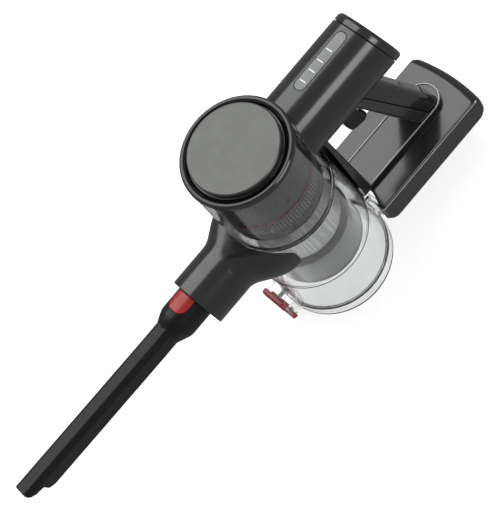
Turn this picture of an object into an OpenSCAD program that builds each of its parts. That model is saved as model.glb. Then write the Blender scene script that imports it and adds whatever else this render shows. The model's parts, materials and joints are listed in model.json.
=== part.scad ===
// Handheld cordless vacuum: cyclone and clear bin, motor barrel, looped grip, slide-on battery
// and a crevice tool. Millimetres. The origin is the centre of the bin lid's underside,
// +Z runs up the cyclone's axis, -X points along the crevice tool and +X to the grip.

/* [Dust bin] */
// Radius of the bin at its foot
bin_foot_r = 62.4; // [58:0.2:66]
// Height of the lid under the bin
lid_h = 16; // [12:1:20]
// Wall of the clear bin
bin_wall = 2.2; // [1.8:0.1:2.6]
// Height of the seam between the clear bin and the tinted shell
seam_z = 164; // [155:1:170]

/* [Cyclone] */
// Height of the top rim
rim_z = 262.3; // [255:0.1:270]
// Radius of the dark cyclone head inside the tinted shell
head_r = 49.3; // [46:0.1:50]
// Radius of the mesh shroud
mesh_r = 43; // [40:0.5:44]
// Radius of the skirt under the mesh shroud
skirt_r = 48.4; // [46:0.2:50]
// Number of small cyclone cones
cone_count = 12; // [8:1:12]
// Number of fine slots round the cyclone head
slot_count = 60; // [30:2:72]

/* [Motor barrel] */
// Radius of the barrel
barrel_r = 33.5; // [32:0.1:35]
// Height of the barrel's axis
barrel_z = 218.7; // [216:0.1:220]
// Where the end cap's seam crosses the axis
end_seam_x = 154; // [150:0.5:156]
// Lean of the end cap's seam, in degrees
end_seam_lean = 11; // [8:0.5:14]

/* [Inlet and crevice tool] */
// Radius of the inlet socket
socket_r = 28.8; // [27:0.1:30]
// Height of the socket's axis
socket_z = 147.8; // [146:0.1:149]
// Distance from the cyclone's axis to the socket's mouth
socket_x = 123.8; // [120:0.1:126]
// Radius of the tool's neck
neck_r = 18.95; // [18:0.05:19.5]
// Height of the neck's axis
neck_z = 152.6; // [151:0.1:153]
// Distance from the cyclone's axis to the tool's tip
tip_x = 361; // [330:1:400]

/* [Handle and battery] */
// Half width of the strut and the foot plate
foot_half_w = 18.5; // [17:0.1:20]
// Height of the battery's top
battery_top = 66.5; // [65.5:0.1:66.5]
// Height of the battery's underside
battery_base = 32.5; // [31:0.5:33]
// Front of the battery
battery_front_x = 54; // [50:0.5:58]
// Rear of the battery
battery_rear_x = 209; // [205:0.5:215]
// Half width of the battery
battery_half_w = 43; // [42:0.5:44]

/* [Hidden] */
$fn = 96;
eps = 0.05;
gap = 0.35;             // clearance between pieces that move
bin_taper = 0.0322;     // radius lost per millimetre of height
lid_gap = 0.3;
wall = 2.2;
far = 400;              // longer than any cut needs

function wall_r(z) = bin_foot_r - bin_taper * z;

// handle outlines in the XZ plane: front and rear edges of the grip at two heights
grip_top_z = 198;
plate_top = 72.2;
plate_bottom = 66.8;
grip_foot_z = plate_top;
front_edge = [98.7, 147.4];   // x at grip_top_z and at grip_foot_z
split_edge = [110.3, 163];
rear_edge = [131.5, 179.5];
trigger_pin_pos = [107, 175];
cell_r = 9.2;
cell_x = [for (i = [0:5]) 82.5 + 18.8 * i];
cell_z = 43.9;
bat_button_x = 191.4;
jack_z = 48.5;
screw_x = [67, 155, 172];
hinge_pos = [67, 8];
latch_pos = [-71, 27];
pin_r = 1.5;
shaft_r = 2.5;
outlet_z = neck_z - 7.4;            // height of the round outlet into the bin
strut_face_x = 60.8;               // front of the strut and the foot plate
button_shelf_z = neck_z + 11.7;   // top of the shelf under the tool button's spring

// ---- shared shapes ----

// cylinder along X between two places, centred on y = 0
module rod_x(r, x0, x1, z) translate([x0, 0, z]) rotate([0, 90, 0]) cylinder(r = r, h = x1 - x0);

// tube along X
module tube_x(r_out, r_in, x0, x1, z) difference() {
  rod_x(r_out, x0, x1, z);
  rod_x(r_in, x0 - 1, x1 + 1, z);
}

// ring about Z
module ring(r_out, r_in, z0, z1) difference() {
  translate([0, 0, z0]) cylinder(r = r_out, h = z1 - z0);
  translate([0, 0, z0 - 1]) cylinder(r = r_in, h = z1 - z0 + 2);
}

// solid that follows the bin's taper, made larger or smaller by grow
module taper(z0, z1, grow) translate([0, 0, z0])
  cylinder(r1 = wall_r(z0) + grow, r2 = wall_r(z1) + grow, h = z1 - z0);

// tapered wall of the bin and shell
module taper_wall(z0, z1, thick) difference() {
  taper(z0, z1, 0);
  taper(z0 - 1, z1 + 1, -thick);
}

// slot outline with round ends along X
module stadium(x0, x1, r) {
  translate([x0 + r, -r]) square([x1 - x0 - 2 * r, 2 * r]);
  for (x = [x0 + r, x1 - r]) translate([x, 0]) circle(r = r);
}

// rectangle with rounded corners, centred
module round_rect(w, h, r) {
  square([w - 2 * r, h], center = true);
  square([w, h - 2 * r], center = true);
  for (x = [-1, 1], y = [-1, 1]) translate([x * (w / 2 - r), y * (h / 2 - r)]) circle(r = r);
}

// everything behind the end cap's leaning seam, moved back by shift
module behind_seam(shift) translate([end_seam_x + shift, 0, barrel_z])
  rotate([0, -end_seam_lean, 0]) translate([0, -far / 4, -far / 4]) cube([far / 4, far / 2, far / 2]);

// small coil spring along Z, drawn as closely stacked rings
module coil(r, wire, h) {
  turns = round(h / (1.7 * wire));
  for (i = [0:turns - 1])
    translate([0, 0, wire + (h - 2 * wire) * i / (turns - 1)])
      rotate_extrude($fn = 32) translate([r, 0]) circle(r = wire, $fn = 16);
}

// ---- motor barrel ----

module panel_outline(grow) stadium(76.3 - grow, 142 + grow, 6.15 + grow);

module barrel_shell() color("#5a5a5b") difference() {
  rod_x(barrel_r, 30, end_seam_x + 12, barrel_z);
  rod_x(barrel_r - wall, 29, end_seam_x + 13, barrel_z);
  taper(150, rim_z + 5, eps);
  translate([0, 0, 255.9]) cylinder(r = 54.85, h = 10);
  behind_seam(0);
  translate([0, 0, barrel_z]) linear_extrude(barrel_r + 2) panel_outline(0.1);
}

module barrel_end_cap() color("#4e4f50") difference() {
  intersection() {
    rod_x(barrel_r, 140, 190, barrel_z);
    behind_seam(0.15);
    translate([end_seam_x - 20, 0, barrel_z]) rotate([0, 90 - end_seam_lean, 0])
      rotate_extrude() {
        square([29.2, 29]);
        square([34.2, 24]);
        translate([29.2, 24]) circle(r = 5, $fn = 48);
      }
  }
  rod_x(barrel_r - wall, 139, end_seam_x + 5, barrel_z);
  for (r = [12, 19, 26], a = [0:12:348]) if (r > 18 || a % 24 == 0)
    translate([end_seam_x, 0, barrel_z]) rotate([a, 0, 0])
      translate([0, -1, r - 2.6]) cube([30, 2, 5.2]);
}

module exhaust_filter() color("#e6e3da") tube_x(barrel_r - wall - 0.1, 7, 138.5, 149.5, barrel_z);

module led_panel() color("#8d9190") difference() {
  intersection() {
    tube_x(barrel_r, barrel_r - 1.8, 70, 148, barrel_z);
    translate([0, 0, barrel_z]) linear_extrude(barrel_r + 2) panel_outline(0);
  }
  led_prisms();
}

// four level bars and a plain battery outline
module led_prisms() translate([0, 0, barrel_z]) linear_extrude(barrel_r + 2) {
  for (x = [85.8, 97.9, 109.3, 121.7]) translate([x, 0]) square([1.4, 7.6], center = true);
  translate([134.2, 0]) difference() {
    square([5.6, 7.2], center = true);
    square([4.0, 5.6], center = true);
  }
  translate([134.2, 4.1]) square([2.4, 1.0], center = true);
}

module led_bars() color("#f4f4f2") intersection() {
  tube_x(barrel_r + 0.1, barrel_r - 1.8, 70, 148, barrel_z);
  led_prisms();
}

module controller_board() color("#1f5a3a") {
  translate([95.5, -10.3, barrel_z + 25.6]) cube([29, 20.6, 1.6]);
  for (x = [98, 107, 116]) translate([x, -3, barrel_z + 27.2 - eps]) cube([5, 6, 1.5]);
}

module motor_can() color("#b9bcbe") difference() {
  rod_x(24, 86, 136, barrel_z);
  rod_x(22.5, 91, 131, barrel_z);
  rod_x(8, 85, 137, barrel_z);
  for (a = [0:60:300]) translate([60, 0, barrel_z]) rotate([a, 0, 0])
    translate([0, 0, 15.5]) rotate([0, 90, 0]) cylinder(r = 4, h = 90, $fn = 32);
}

module motor_stator() color("#a8672f") difference() {
  tube_x(22.5, 12.4, 97, 125, barrel_z);
  for (a = [0:60:300]) translate([96, 0, barrel_z]) rotate([a, 0, 0])
    translate([0, -1.5, 14]) cube([30, 3, 6]);
}

module rubber_mount(x0, x1) color("#26272a") tube_x(barrel_r - wall, 24, x0, x1, barrel_z);
module motor_mount_front() rubber_mount(88, 94);
module motor_mount_rear() rubber_mount(126, 132);

module bearing(x0) color("#cfd2d4") tube_x(8, shaft_r + 0.05, x0, x0 + 4.6, barrel_z);
module front_bearing() bearing(86.2);
module rear_bearing() bearing(131.2);

module fan_housing() color("#3a3b3d") difference() {
  rod_x(barrel_r - wall, 63, 85.5, barrel_z);
  rod_x(25, 66, 86, barrel_z);
  rod_x(14, 62, 67, barrel_z);
}

module impeller() color("#d8d9d6") {
  difference() {
    union() {
      rod_x(22.8, 80.5, 82, barrel_z);
      translate([68, 0, barrel_z]) rotate([0, 90, 0]) cylinder(r1 = 5, r2 = 9, h = 12.6);
    }
    rod_x(shaft_r, 60, 90, barrel_z);
  }
  for (a = [0:40:320]) translate([69.5, 0, barrel_z]) rotate([a, 0, 0])
    translate([0, 4, 5]) rotate([-24, 0, 0]) cube([11.1, 1.2, 15.5]);
}

module motor_shaft() color("#c9ccce") rod_x(shaft_r, 66.6, 137.5, barrel_z);
module rotor_magnet() color("#5b5f66") tube_x(11.8, shaft_r, 98, 124, barrel_z);

// ---- cyclone ----

module smoke_shell() color("#77777acc") difference() {
  taper_wall(seam_z + 0.8, 256, 2);
  rod_x(28, 20, 80, barrel_z);
}

module top_rim_ring() color("#3d3e3f") rotate_extrude() {
  translate([48.6, 256]) square([5.6, 3.3]);
  translate([51.5, 256]) square([1.2, 6.3]);
  for (x = [51.5, 51.9]) translate([x, 259.4]) circle(r = 2.9, $fn = 48);
}

module cyclone_head() color("#55565a") difference() {
  union() {
    translate([0, 0, 174]) cylinder(r = head_r, h = 78);
    translate([0, 0, 252]) cylinder(r = 52.2, h = 2);
  }
  translate([0, 0, 176]) cylinder(r = head_r - 1.8, h = 76.1);
  translate([0, 0, 170]) cylinder(r = 40.4, h = 90);
  rod_x(23, 20, 80, barrel_z);
}

module accent_ring() color("#b3262c") ring(head_r + 0.7, head_r, 208.2, 209.8);

module slot_ring() color("#8b8c8f") difference() {
  ring(head_r + 1.1, head_r, 191, 204);
  for (i = [0:slot_count - 1]) rotate([0, 0, i * 360 / slot_count])
    translate([head_r + 0.35, -0.9, 192.5]) cube([3, 1.8, 10]);
}

module cone_ring(r_low, r_high, z0, z1) for (i = [0:cone_count - 1])
  rotate([0, 0, i * 360 / cone_count]) translate([31.5, 0, z0])
    cylinder(r1 = r_low, r2 = r_high, h = z1 - z0, $fn = 32);

module cyclone_cones() color("#3c3d40") difference() {
  union() {
    cone_ring(3, 7.6, 112, 176);
    translate([0, 0, 174]) cylinder(r = 40.3, h = 2);
  }
  cone_ring(1.6, 6.4, 111, 177);
}

module mesh_shroud() color("#c4c6c6") ring(mesh_r, mesh_r - 0.8, 110.2, 174);

module shroud_skirt() color("#5f6064") difference() {
  union() {
    translate([0, 0, 59.5]) cylinder(r = skirt_r, h = 46);
    translate([0, 0, 105.5]) cylinder(r1 = skirt_r, r2 = mesh_r, h = 4.7);
  }
  translate([0, 0, 61.5]) cylinder(r = skirt_r - 2, h = 42);
  translate([0, 0, 100]) cylinder(r = mesh_r - 2, h = 20);
}

module bin_seal() color("#2c2d2f") difference() {
  union() {
    taper(seam_z + 0.9, 171, -2);
    translate([0, 0, 158]) cylinder(r = 54.2, h = seam_z - 157);
  }
  translate([0, 0, 150]) cylinder(r = 52, h = 30);
}

// ---- inlet ----

module duct_outer() {
  rod_x(socket_r, -socket_x, -50, socket_z);
  hull() {
    rod_x(socket_r, -82, -81, socket_z);
    for (y = [-28, 28]) translate([-60, y, 143]) rotate([0, 90, 0]) cylinder(r = 17, h = 8, $fn = 32);
    for (y = [-29, 29]) translate([-34, y, 143]) rotate([0, 90, 0]) cylinder(r = 20, h = 4, $fn = 32);
  }
}

module inlet_duct() color("#59595a") difference() {
  duct_outer();
  taper(60, seam_z + 0.5, 0.6);
  taper(seam_z, 200, eps);
  rod_x(neck_r + gap, -socket_x - 1, -98, neck_z);
  rod_x(15.5, -99, -30, outlet_z);
  inlet_gasket();
}

// ring that seals the duct's outlet against the bin
module inlet_gasket() intersection() {
  tube_x(20.5, 15.5, -80, -30, outlet_z);
  difference() {
    taper(80, 200, 3);
    taper(79, 201, gap);
  }
}
module inlet_seal() color("#242527") inlet_gasket();

// ---- strut, foot and grip ----

module barrel_cut() rod_x(barrel_r, 30, 200, barrel_z);

module screw_holes() for (x = screw_x, y = [-8, 8]) translate([x, y, plate_bottom])
  cylinder(r = 1.6, h = 10);

module front_strut() color("#59595a") difference() {
  rotate([90, 0, 0]) translate([0, 0, -foot_half_w]) linear_extrude(2 * foot_half_w)
    polygon([[strut_face_x, 199], [64.8, 199], [72, plate_top], [strut_face_x, plate_top]]);
  barrel_cut();
  taper(150, rim_z, 0.3);
  screw_holes();
}

// rail that hangs under the foot plate and holds the battery
module dock_rail() {
  translate([78, -10, 57.5]) cube([70, 20, plate_bottom - 57.5 + eps]);
  translate([78, -14, 56.5]) cube([70, 28, 3.6]);
}

module foot_outline(inset) difference() {
  stadium(20, 187 - inset, foot_half_w - inset);
  translate([0, -30]) square([strut_face_x, 60]);
}

module foot_plate() color("#4b4b4c") difference() {
  union() {
    translate([0, 0, plate_bottom]) linear_extrude(plate_top - plate_bottom) foot_outline(0);
    dock_rail();
  }
  for (x = screw_x, y = [-8, 8]) translate([x, y, plate_bottom - 1]) {
    cylinder(r = 1.6, h = 8);
    translate([0, 0, 1 - eps]) cylinder(r = 3.1, h = 1.1);
  }
}

module foot_rim() color("#bfc0be") difference() {
  translate([0, 0, plate_top]) linear_extrude(1.9) difference() {
    foot_outline(0);
    foot_outline(1.6);
    square([74.4 * 2, 2 * far], center = true);
  }
}

module foot_screws() color("#9b9ea1") for (x = screw_x, y = [-8, 8]) translate([x, y, plate_bottom]) {
  cylinder(r = 3, h = 1);
  cylinder(r = 1.55, h = 9);
}

// one leaning column between the barrel and the foot, from a flat outline at each end
module lean(x0, x1, half_w, r, z0, z1, inset) hull() {
  for (end = [[0, z1], [1, z0]]) translate([(x0[end[0]] + x1[end[0]]) / 2, 0, end[1]])
    linear_extrude(0.01) offset(r = r, $fn = 32)
      square([x1[end[0]] - x0[end[0]] - 2 * r - 2 * inset, 2 * (half_w - r - inset)], center = true);
}

module grip_cavity() lean(front_edge, rear_edge, 16, 5, grip_foot_z + 12, grip_top_z, 2.6);

module grip_front_shell() color("#4d4d4e") difference() {
  lean(front_edge, split_edge, 16.8, 4, grip_foot_z, grip_top_z, 0);
  grip_cavity();
  barrel_cut();
  trigger_path();
  screw_holes();
  translate([trigger_pin_pos[0], -20, trigger_pin_pos[1]]) rotate([-90, 0, 0])
    cylinder(r = pin_r, h = 40);
}

module grip_rear_cover() color("#1b1b1c") difference() {
  lean([split_edge[0] + 0.05, split_edge[1] + 0.05], rear_edge, 16, 8, grip_foot_z, grip_top_z, 0);
  grip_cavity();
  barrel_cut();
  screw_holes();
}

// ---- trigger ----

module trigger_side(grow) rotate([90, 0, 0]) linear_extrude(2 * (8.5 + grow), center = true)
  union() {
    polygon([[90, 184], [91, 154], [97, 144.5], [109, 141.5], [114.5, 148], [110, 162], [107, 180]]);
    translate([96.5, 150]) circle(r = 5.6);
    translate([109.5, 146.5]) circle(r = 5);
    translate(trigger_pin_pos) circle(r = 4);
  }

// room that the trigger and its spring sweep when it is squeezed
module trigger_path() {
  rotate([90, 0, 0]) linear_extrude(18, center = true)
    polygon([[90, 140], [119.5, 140], [119.5, 152], [113.4, 163], [111.6, 171], [111.6, 204], [90, 204]]);
  rod_x(3.4, 110, 125, 157);
}

module trigger() color("#161617") difference() {
  trigger_side(0);
  translate([0, 0, 0.7]) rod_x(barrel_r + 0.5, 30, 200, barrel_z);
  translate([trigger_pin_pos[0], -20, trigger_pin_pos[1]]) rotate([-90, 0, 0])
    cylinder(r = pin_r + 0.05, h = 40);
}

module trigger_pin() color("#b8bbbd") translate([trigger_pin_pos[0], -14, trigger_pin_pos[1]])
  rotate([-90, 0, 0]) cylinder(r = pin_r, h = 28);

module trigger_switch() color("#2a4d7a") translate([126, -5, 152]) cube([7, 10, 16]);

module trigger_spring() color("#c0c3c5") translate([112.8, 0, 157]) rotate([0, 90, 0])
  coil(2.6, 0.5, 13.1);

// ---- dock contacts ----

module dock_contacts() color("#c9a24a") for (y = [-7, 0, 7])
  translate([148, y - 1, 59.5]) cube([1.6, 2, 5]);

// ---- bin ----

module bin_cup() color("#dfe4e6aa") difference() {
  union() {
    taper_wall(lid_h + lid_gap, seam_z - 0.2, bin_wall);
    difference() {
      taper(73, 76, 0.5);
      taper(70, 80, -1);
    }
    difference() {
      taper(lid_h + lid_gap, lid_h + 5, 0.6);
      taper(lid_h - 1, lid_h + 8, -1);
    }
    for (s = [-1, 1]) {
      // rails beside the strut
      difference() {
        translate([50, s * 20.5 - 1.3, 24]) cube([17, 2.6, 132]);
        taper(10, 170, -1);
      }
      // ears for the lid's hinge
      translate([hinge_pos[0], s * 11.9 - 3.5, hinge_pos[1]]) rotate([-90, 0, 0]) cylinder(r = 3.4, h = 7);
      difference() {
        translate([63.3, s * 11.9 - 3.5, hinge_pos[1]]) cube([7.1, 7, 16]);
        taper(lid_h + 5, 40, -1);
      }
      // ears of the latch bracket
      difference() {
        translate([-74.6, s * 16 - 1.5, 19]) cube([18, 3, 17]);
        taper(10, 40, -1);
      }
    }
    // web that joins the hinge ears to the wall
    difference() {
      translate([50, -15.4, lid_h + 1]) cube([20.4, 30.8, 7]);
      taper(10, 40, -1);
    }
  }
  translate([hinge_pos[0], -20, hinge_pos[1]]) rotate([-90, 0, 0]) cylinder(r = pin_r, h = 40);
  translate([latch_pos[0], -20, latch_pos[1]]) rotate([-90, 0, 0]) cylinder(r = pin_r, h = 40);
  rod_x(15.5, -70, -40, outlet_z);
}

module lid_hinge_pin() color("#b8bbbd") translate([hinge_pos[0], -15.4, hinge_pos[1]])
  rotate([-90, 0, 0]) cylinder(r = pin_r, h = 30.8);

module latch_pin() color("#b8bbbd") translate([latch_pos[0], -17.5, latch_pos[1]])
  rotate([-90, 0, 0]) cylinder(r = pin_r, h = 35);

module bin_lid() color("#d3d8dab0") difference() {
  union() {
    rotate_extrude() difference() {
      polygon([[0, 0], [60.6, 0], [bin_foot_r, 1.8], [bin_foot_r, lid_h], [0, lid_h]]);
      translate([0, 3]) square([58.6, lid_h]);
      for (z = [6, 11.4]) translate([bin_foot_r + 0.3, z]) circle(r = 1.1, $fn = 24);
      translate([56.9, lid_h - 1.8]) square([3.1, 2]);
    }
    // tab for the latch
    translate([-69.4, -11, 3.6]) cube([9, 22, 4]);
    // hinge knuckle
    translate([hinge_pos[0], -8, hinge_pos[1]]) rotate([-90, 0, 0]) cylinder(r = 3.4, h = 16);
    translate([60, -8, 4.8]) cube([7, 16, 6.4]);
  }
  translate([0, 0, 3]) cylinder(r = 58.6, h = lid_h);
  translate([hinge_pos[0], -20, hinge_pos[1]]) rotate([-90, 0, 0]) cylinder(r = pin_r + 0.05, h = 40);
}

module lid_seal() color("#2b2c2e") ring(60, 57, lid_h - 1.8, lid_h);

module bin_latch() color("#b22a2e") difference() {
  union() {
    translate([-73.6, -13.8, 2]) cube([3.6, 27.6, 34]);
    translate([-71.8, 0, 36]) rotate([90, 0, 0]) cylinder(r = 1.8, h = 27.6, center = true);
    translate([-73.2, -13.8, 36]) cube([2.8, 27.6, 5]);
    translate([latch_pos[0], 0, latch_pos[1]]) rotate([90, 0, 0]) cylinder(r = 3.4, h = 27.6, center = true);
  }
  translate([latch_pos[0], -20, latch_pos[1]]) rotate([-90, 0, 0]) cylinder(r = pin_r + 0.05, h = 40);
}

module latch_spring() color("#c0c3c5") translate([-69.9, 0, 36]) rotate([0, 90, 0]) coil(2.2, 0.45, 8.4);

// ---- filter ----

module filter_cap() color("#7c7e7b") translate([0, 0, 263.9]) {
  cylinder(r = 44.8, h = 2.8);
  translate([0, 0, 2.8]) cylinder(r1 = 44.8, r2 = 43.8, h = 1);
}

module filter_holder() color("#141415") {
  translate([0, 0, 254.3]) cylinder(r = 48.1, h = 3);
  translate([0, 0, 257.2]) cylinder(r = 44, h = 6.7);
}

module pre_filter() color("#d9d4c6") difference() {
  translate([0, 0, 214]) cylinder(r = 39.4, h = 40.3);
  translate([0, 0, 210]) cylinder(r = 27, h = 41);
}

// ---- crevice tool ----

module tool_section(x, z, w, h, r) translate([x, 0, z]) rotate([0, 90, 0])
  linear_extrude(0.5) offset(r = r, $fn = 24) square([h - 2 * r, w - 2 * r], center = true);

module tool_channel() {
  rod_x(16.2, -149.3, -100, neck_z);
  hull() {
    rod_x(16.2, -149.8, -149.3, neck_z);
    tool_section(-184, 153.5, 15.6, 22.6, 4.6);
  }
  hull() {
    tool_section(-184, 153.5, 15.6, 22.6, 4.6);
    tool_section(-tip_x - 1, 157, 15.6, 22.6, 4.6);
  }
}

// slot for the button, or the button itself, on top of the neck
module button_shape(grow, r0, r1) intersection() {
  tube_x(r1, r0, -144.3, -124.2 + grow, neck_z);
  translate([0, 0, neck_z]) linear_extrude(30) union() {
    translate([-134.3, -10.3 - grow]) square([12, 20.6 + 2 * grow]);
    intersection() {
      translate([-133.3, 0]) circle(r = 10.3 + grow);
      translate([-157.3, -20]) square([26, 40]);
    }
  }
}

module crevice_tool() color("#1c1c1d") {
  tool_tube();
  // shelf under the button's spring
  translate([-137.3, -13.6, button_shelf_z - 1.6]) cube([8, 27.2, 1.6]);
}

module tool_tube() difference() {
  union() {
    rod_x(neck_r, -147.3, -101, neck_z);
    hull() {
      rod_x(neck_r, -147.5, -147.3, neck_z);
      tool_section(-184, 153.5, 20, 27, 6.5);
    }
    hull() {
      tool_section(-184, 153.5, 20, 27, 6.5);
      tool_section(-tip_x, 157, 20, 27, 6.5);
    }
  }
  tool_channel();
  button_shape(gap, 10, 30);
  // stepped, slanting cut of the tip
  translate([-tip_x, 0, 0]) rotate([90, 0, 0]) linear_extrude(60, center = true)
    polygon([[-6, 120], [40, 120], [30, 143.4], [24, 147.6], [18.2, 151.2], [16.6, 159.2],
      [12.5, 160.1], [7.8, 160.8], [3, 164.6], [0, 168.8], [-6, 175]]);
}

module tool_release_button() color("#c8433a") button_shape(0, neck_r - 1.6, neck_r + 0.9);

module tool_button_spring() color("#c0c3c5") translate([-133.3, 0, button_shelf_z])
  coil(2.4, 0.4, neck_z + neck_r - 1.75 - button_shelf_z);

// ---- battery ----

module battery_plan(inset) difference() {
  translate([(battery_front_x + battery_rear_x) / 2, 0])
    round_rect(battery_rear_x - battery_front_x - 2 * inset, 2 * (battery_half_w - inset), 9 - inset / 2);
  circle(r = 70.7 + inset);
}

// side outline of the pack: round lower ends and a round upper rear end
module battery_side(inset) {
  x0 = battery_front_x + inset;
  x1 = battery_rear_x - inset;
  z0 = battery_base + inset;
  z1 = battery_top - inset;
  translate([x0 + 12, z0]) square([x1 - x0 - 24, z1 - z0]);
  translate([x0, z0 + 12]) square([x1 - x0, z1 - z0 - 24]);
  translate([x0, z0 + 12]) square([20, z1 - z0 - 12]);
  for (p = [[x0 + 12, z0 + 12], [x1 - 12, z0 + 12], [x1 - 12, z1 - 12]]) translate(p) circle(r = 12);
}

module battery_block(inset, z0, z1) intersection() {
  translate([0, 0, z0]) linear_extrude(z1 - z0) battery_plan(inset);
  rotate([90, 0, 0]) linear_extrude(2 * far, center = true) battery_side(inset);
}

module battery_slot() {
  translate([40, -10.4, 57.5]) cube([110, 20.8, 20]);
  translate([40, -14.4, 56.1]) cube([110, 28.8, 4.4]);
}

module battery_upper_shell() color("#5b5b5c") difference() {
  battery_block(0, 50.5, battery_top);
  battery_slot();
  // rooms beside the slot, above the cells and behind the slot
  for (s = [-1, 1]) translate([76, s * 28 - 9, 48.5]) cube([76, 18, 15.6]);
  translate([74, -34, 48.5]) cube([120, 68, 5.6]);
  difference() {
    translate([155, -33, 48.5]) cube([40, 66, 14.5]);
    translate([bat_button_x, 0, 48.7]) cylinder(r = 5, h = 20);
  }
  battery_trim_groove();
  battery_contacts();
  translate([196, 0, jack_z]) rotate([0, 90, 0]) cylinder(r = 4.05, h = 30);
}

module battery_lower_shell() color("#505051") difference() {
  battery_block(0, battery_base, 50.5 - eps);
  difference() {
    battery_block(2.2, battery_base + 2.2, 58.5);
    translate([200, -20, 28.5]) cube([20, 40, 40]);
  }
  translate([bat_button_x, 0, 28.5]) linear_extrude(10) round_rect(8 + 2 * gap, 24 + 2 * gap, 3);
  translate([196, 0, jack_z]) rotate([0, 90, 0]) cylinder(r = 4.05, h = 30);
}

module battery_trim_groove() difference() {
  translate([0, 0, 63.1]) linear_extrude(1.3) battery_plan(-1);
  translate([0, 0, 58.5]) linear_extrude(10) battery_plan(1);
  translate([200, -60, 58.5]) cube([40, 120, 20]);
  translate([40, -30, 58.5]) cube([60, 60, 20]);
}

module battery_trim() color("#c9cac8") intersection() {
  battery_trim_groove();
  battery_block(0, 62.5, 65.5);
}

module battery_cells() color("#3f7fb5") for (x = cell_x) translate([x, -32.5, cell_z])
  rotate([-90, 0, 0]) cylinder(r = cell_r, h = 65, $fn = 48);

module battery_board() color("#1f5a3a") difference() {
  translate([156, -24, 54.9]) cube([36, 48, 1.6]);
  translate([bat_button_x, 0, 48.5]) cylinder(r = 5.4, h = 20);
}

module battery_contacts() color("#c9a24a") for (y = [-7, 0, 7])
  translate([150.1, y - 1, 59.1]) cube([7.9, 2, 3.2]);

module charging_jack() color("#232324") tube_x(4, 2.75, 199.5, 208.4, jack_z);

module battery_release_button() color("#2f3032") translate([bat_button_x, 0, 0]) {
  translate([0, 0, battery_base + 0.2]) linear_extrude(2.6) round_rect(8, 24, 3);
  translate([0, 0, battery_base + 2.6]) linear_extrude(1.6) round_rect(10, 26, 3);
}

module battery_button_spring() color("#c0c3c5") translate([bat_button_x, 0, battery_base + 4.2])
  coil(3, 0.5, 48.7 - battery_base - 4.2);

barrel_shell();
barrel_end_cap();
exhaust_filter();
led_panel();
led_bars();
controller_board();
motor_can();
motor_stator();
motor_mount_front();
motor_mount_rear();
front_bearing();
rear_bearing();
fan_housing();
impeller();
motor_shaft();
rotor_magnet();
smoke_shell();
top_rim_ring();
cyclone_head();
accent_ring();
slot_ring();
cyclone_cones();
mesh_shroud();
shroud_skirt();
bin_seal();
inlet_duct();
inlet_seal();
front_strut();
foot_plate();
foot_rim();
grip_front_shell();
grip_rear_cover();
foot_screws();
trigger();
trigger_pin();
trigger_spring();
trigger_switch();
dock_contacts();
bin_cup();
lid_hinge_pin();
latch_pin();
bin_lid();
lid_seal();
bin_latch();
latch_spring();
filter_cap();
filter_holder();
pre_filter();
crevice_tool();
tool_release_button();
tool_button_spring();
battery_upper_shell();
battery_lower_shell();
battery_trim();
battery_cells();
battery_board();
battery_contacts();
charging_jack();
battery_release_button();
battery_button_spring();
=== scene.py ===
# Looks of the handheld vacuum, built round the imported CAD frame.
# Lengths in this file are millimetres; MM turns them into Blender's metres.
import json
from math import acos, atan2, cos, pi, radians, sin, sqrt, tan

import bmesh
import bpy
from mathutils import Matrix, Vector


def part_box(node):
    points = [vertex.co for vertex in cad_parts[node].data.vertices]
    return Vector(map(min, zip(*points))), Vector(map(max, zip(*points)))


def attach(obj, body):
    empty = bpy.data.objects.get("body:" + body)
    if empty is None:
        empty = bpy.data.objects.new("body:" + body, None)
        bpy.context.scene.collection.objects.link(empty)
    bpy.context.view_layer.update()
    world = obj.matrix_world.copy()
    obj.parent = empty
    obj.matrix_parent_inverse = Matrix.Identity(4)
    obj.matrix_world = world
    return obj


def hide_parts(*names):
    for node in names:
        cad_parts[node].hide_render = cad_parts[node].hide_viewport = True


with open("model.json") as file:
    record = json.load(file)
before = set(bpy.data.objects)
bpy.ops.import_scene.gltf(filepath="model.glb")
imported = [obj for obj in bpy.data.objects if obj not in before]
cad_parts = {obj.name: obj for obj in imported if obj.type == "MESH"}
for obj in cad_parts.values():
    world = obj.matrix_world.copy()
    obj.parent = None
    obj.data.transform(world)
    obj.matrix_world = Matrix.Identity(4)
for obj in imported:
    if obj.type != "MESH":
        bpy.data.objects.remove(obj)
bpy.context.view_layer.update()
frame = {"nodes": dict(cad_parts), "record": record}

MM = 0.001
scene = bpy.context.scene
nodes = frame["nodes"]


def box_mm(name):
    low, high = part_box(name)
    return [c / MM for c in low], [c / MM for c in high]


# ---------------------------------------------------------------- measures
BARREL_HIGH = box_mm("barrel_shell")[1]
BATTERY_LOW, BATTERY_HIGH = box_mm("battery_lower_shell")
PLATE_HIGH = box_mm("foot_plate")[1]
CAP_TOP = box_mm("filter_cap")[1][2]

FOOT_R = box_mm("bin_lid")[1][1]    # radius of the bin at its foot
TAPER = 0.0322                      # radius lost per millimetre of height
SEAM_Z = 164.0                      # seam between the clear bin and the tinted shell
BARREL_R = BARREL_HIGH[1]
BARREL_Z = BARREL_HIGH[2] - BARREL_R
SEAM_X = 154.0                      # where the end cap's seam crosses the barrel's axis
LEAN = tan(radians(11))             # slant of that seam
SOCKET_R = 28.8
SOCKET_Z = 147.8
SOCKET_X = box_mm("inlet_duct")[0][0]
NECK_R = 18.95
NECK_Z = 152.6
TIP_X = box_mm("crevice_tool")[0][0]
OUTLET_Z = NECK_Z - 7.4             # round outlet into the bin
OUTLET_R = 15.5
HEAD_R = 49.3                       # cyclone head
HINGE_XZ = (67, 8)                  # pin of the bin's lid
LATCH_XZ = (-71, 27)                # pin of the bin's latch
PLATE_TOP = PLATE_HIGH[2]
BATTERY_TOP = PLATE_TOP - 5.7
GRIP_TOP_Z, GRIP_FOOT_Z = 198.0, PLATE_TOP
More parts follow.
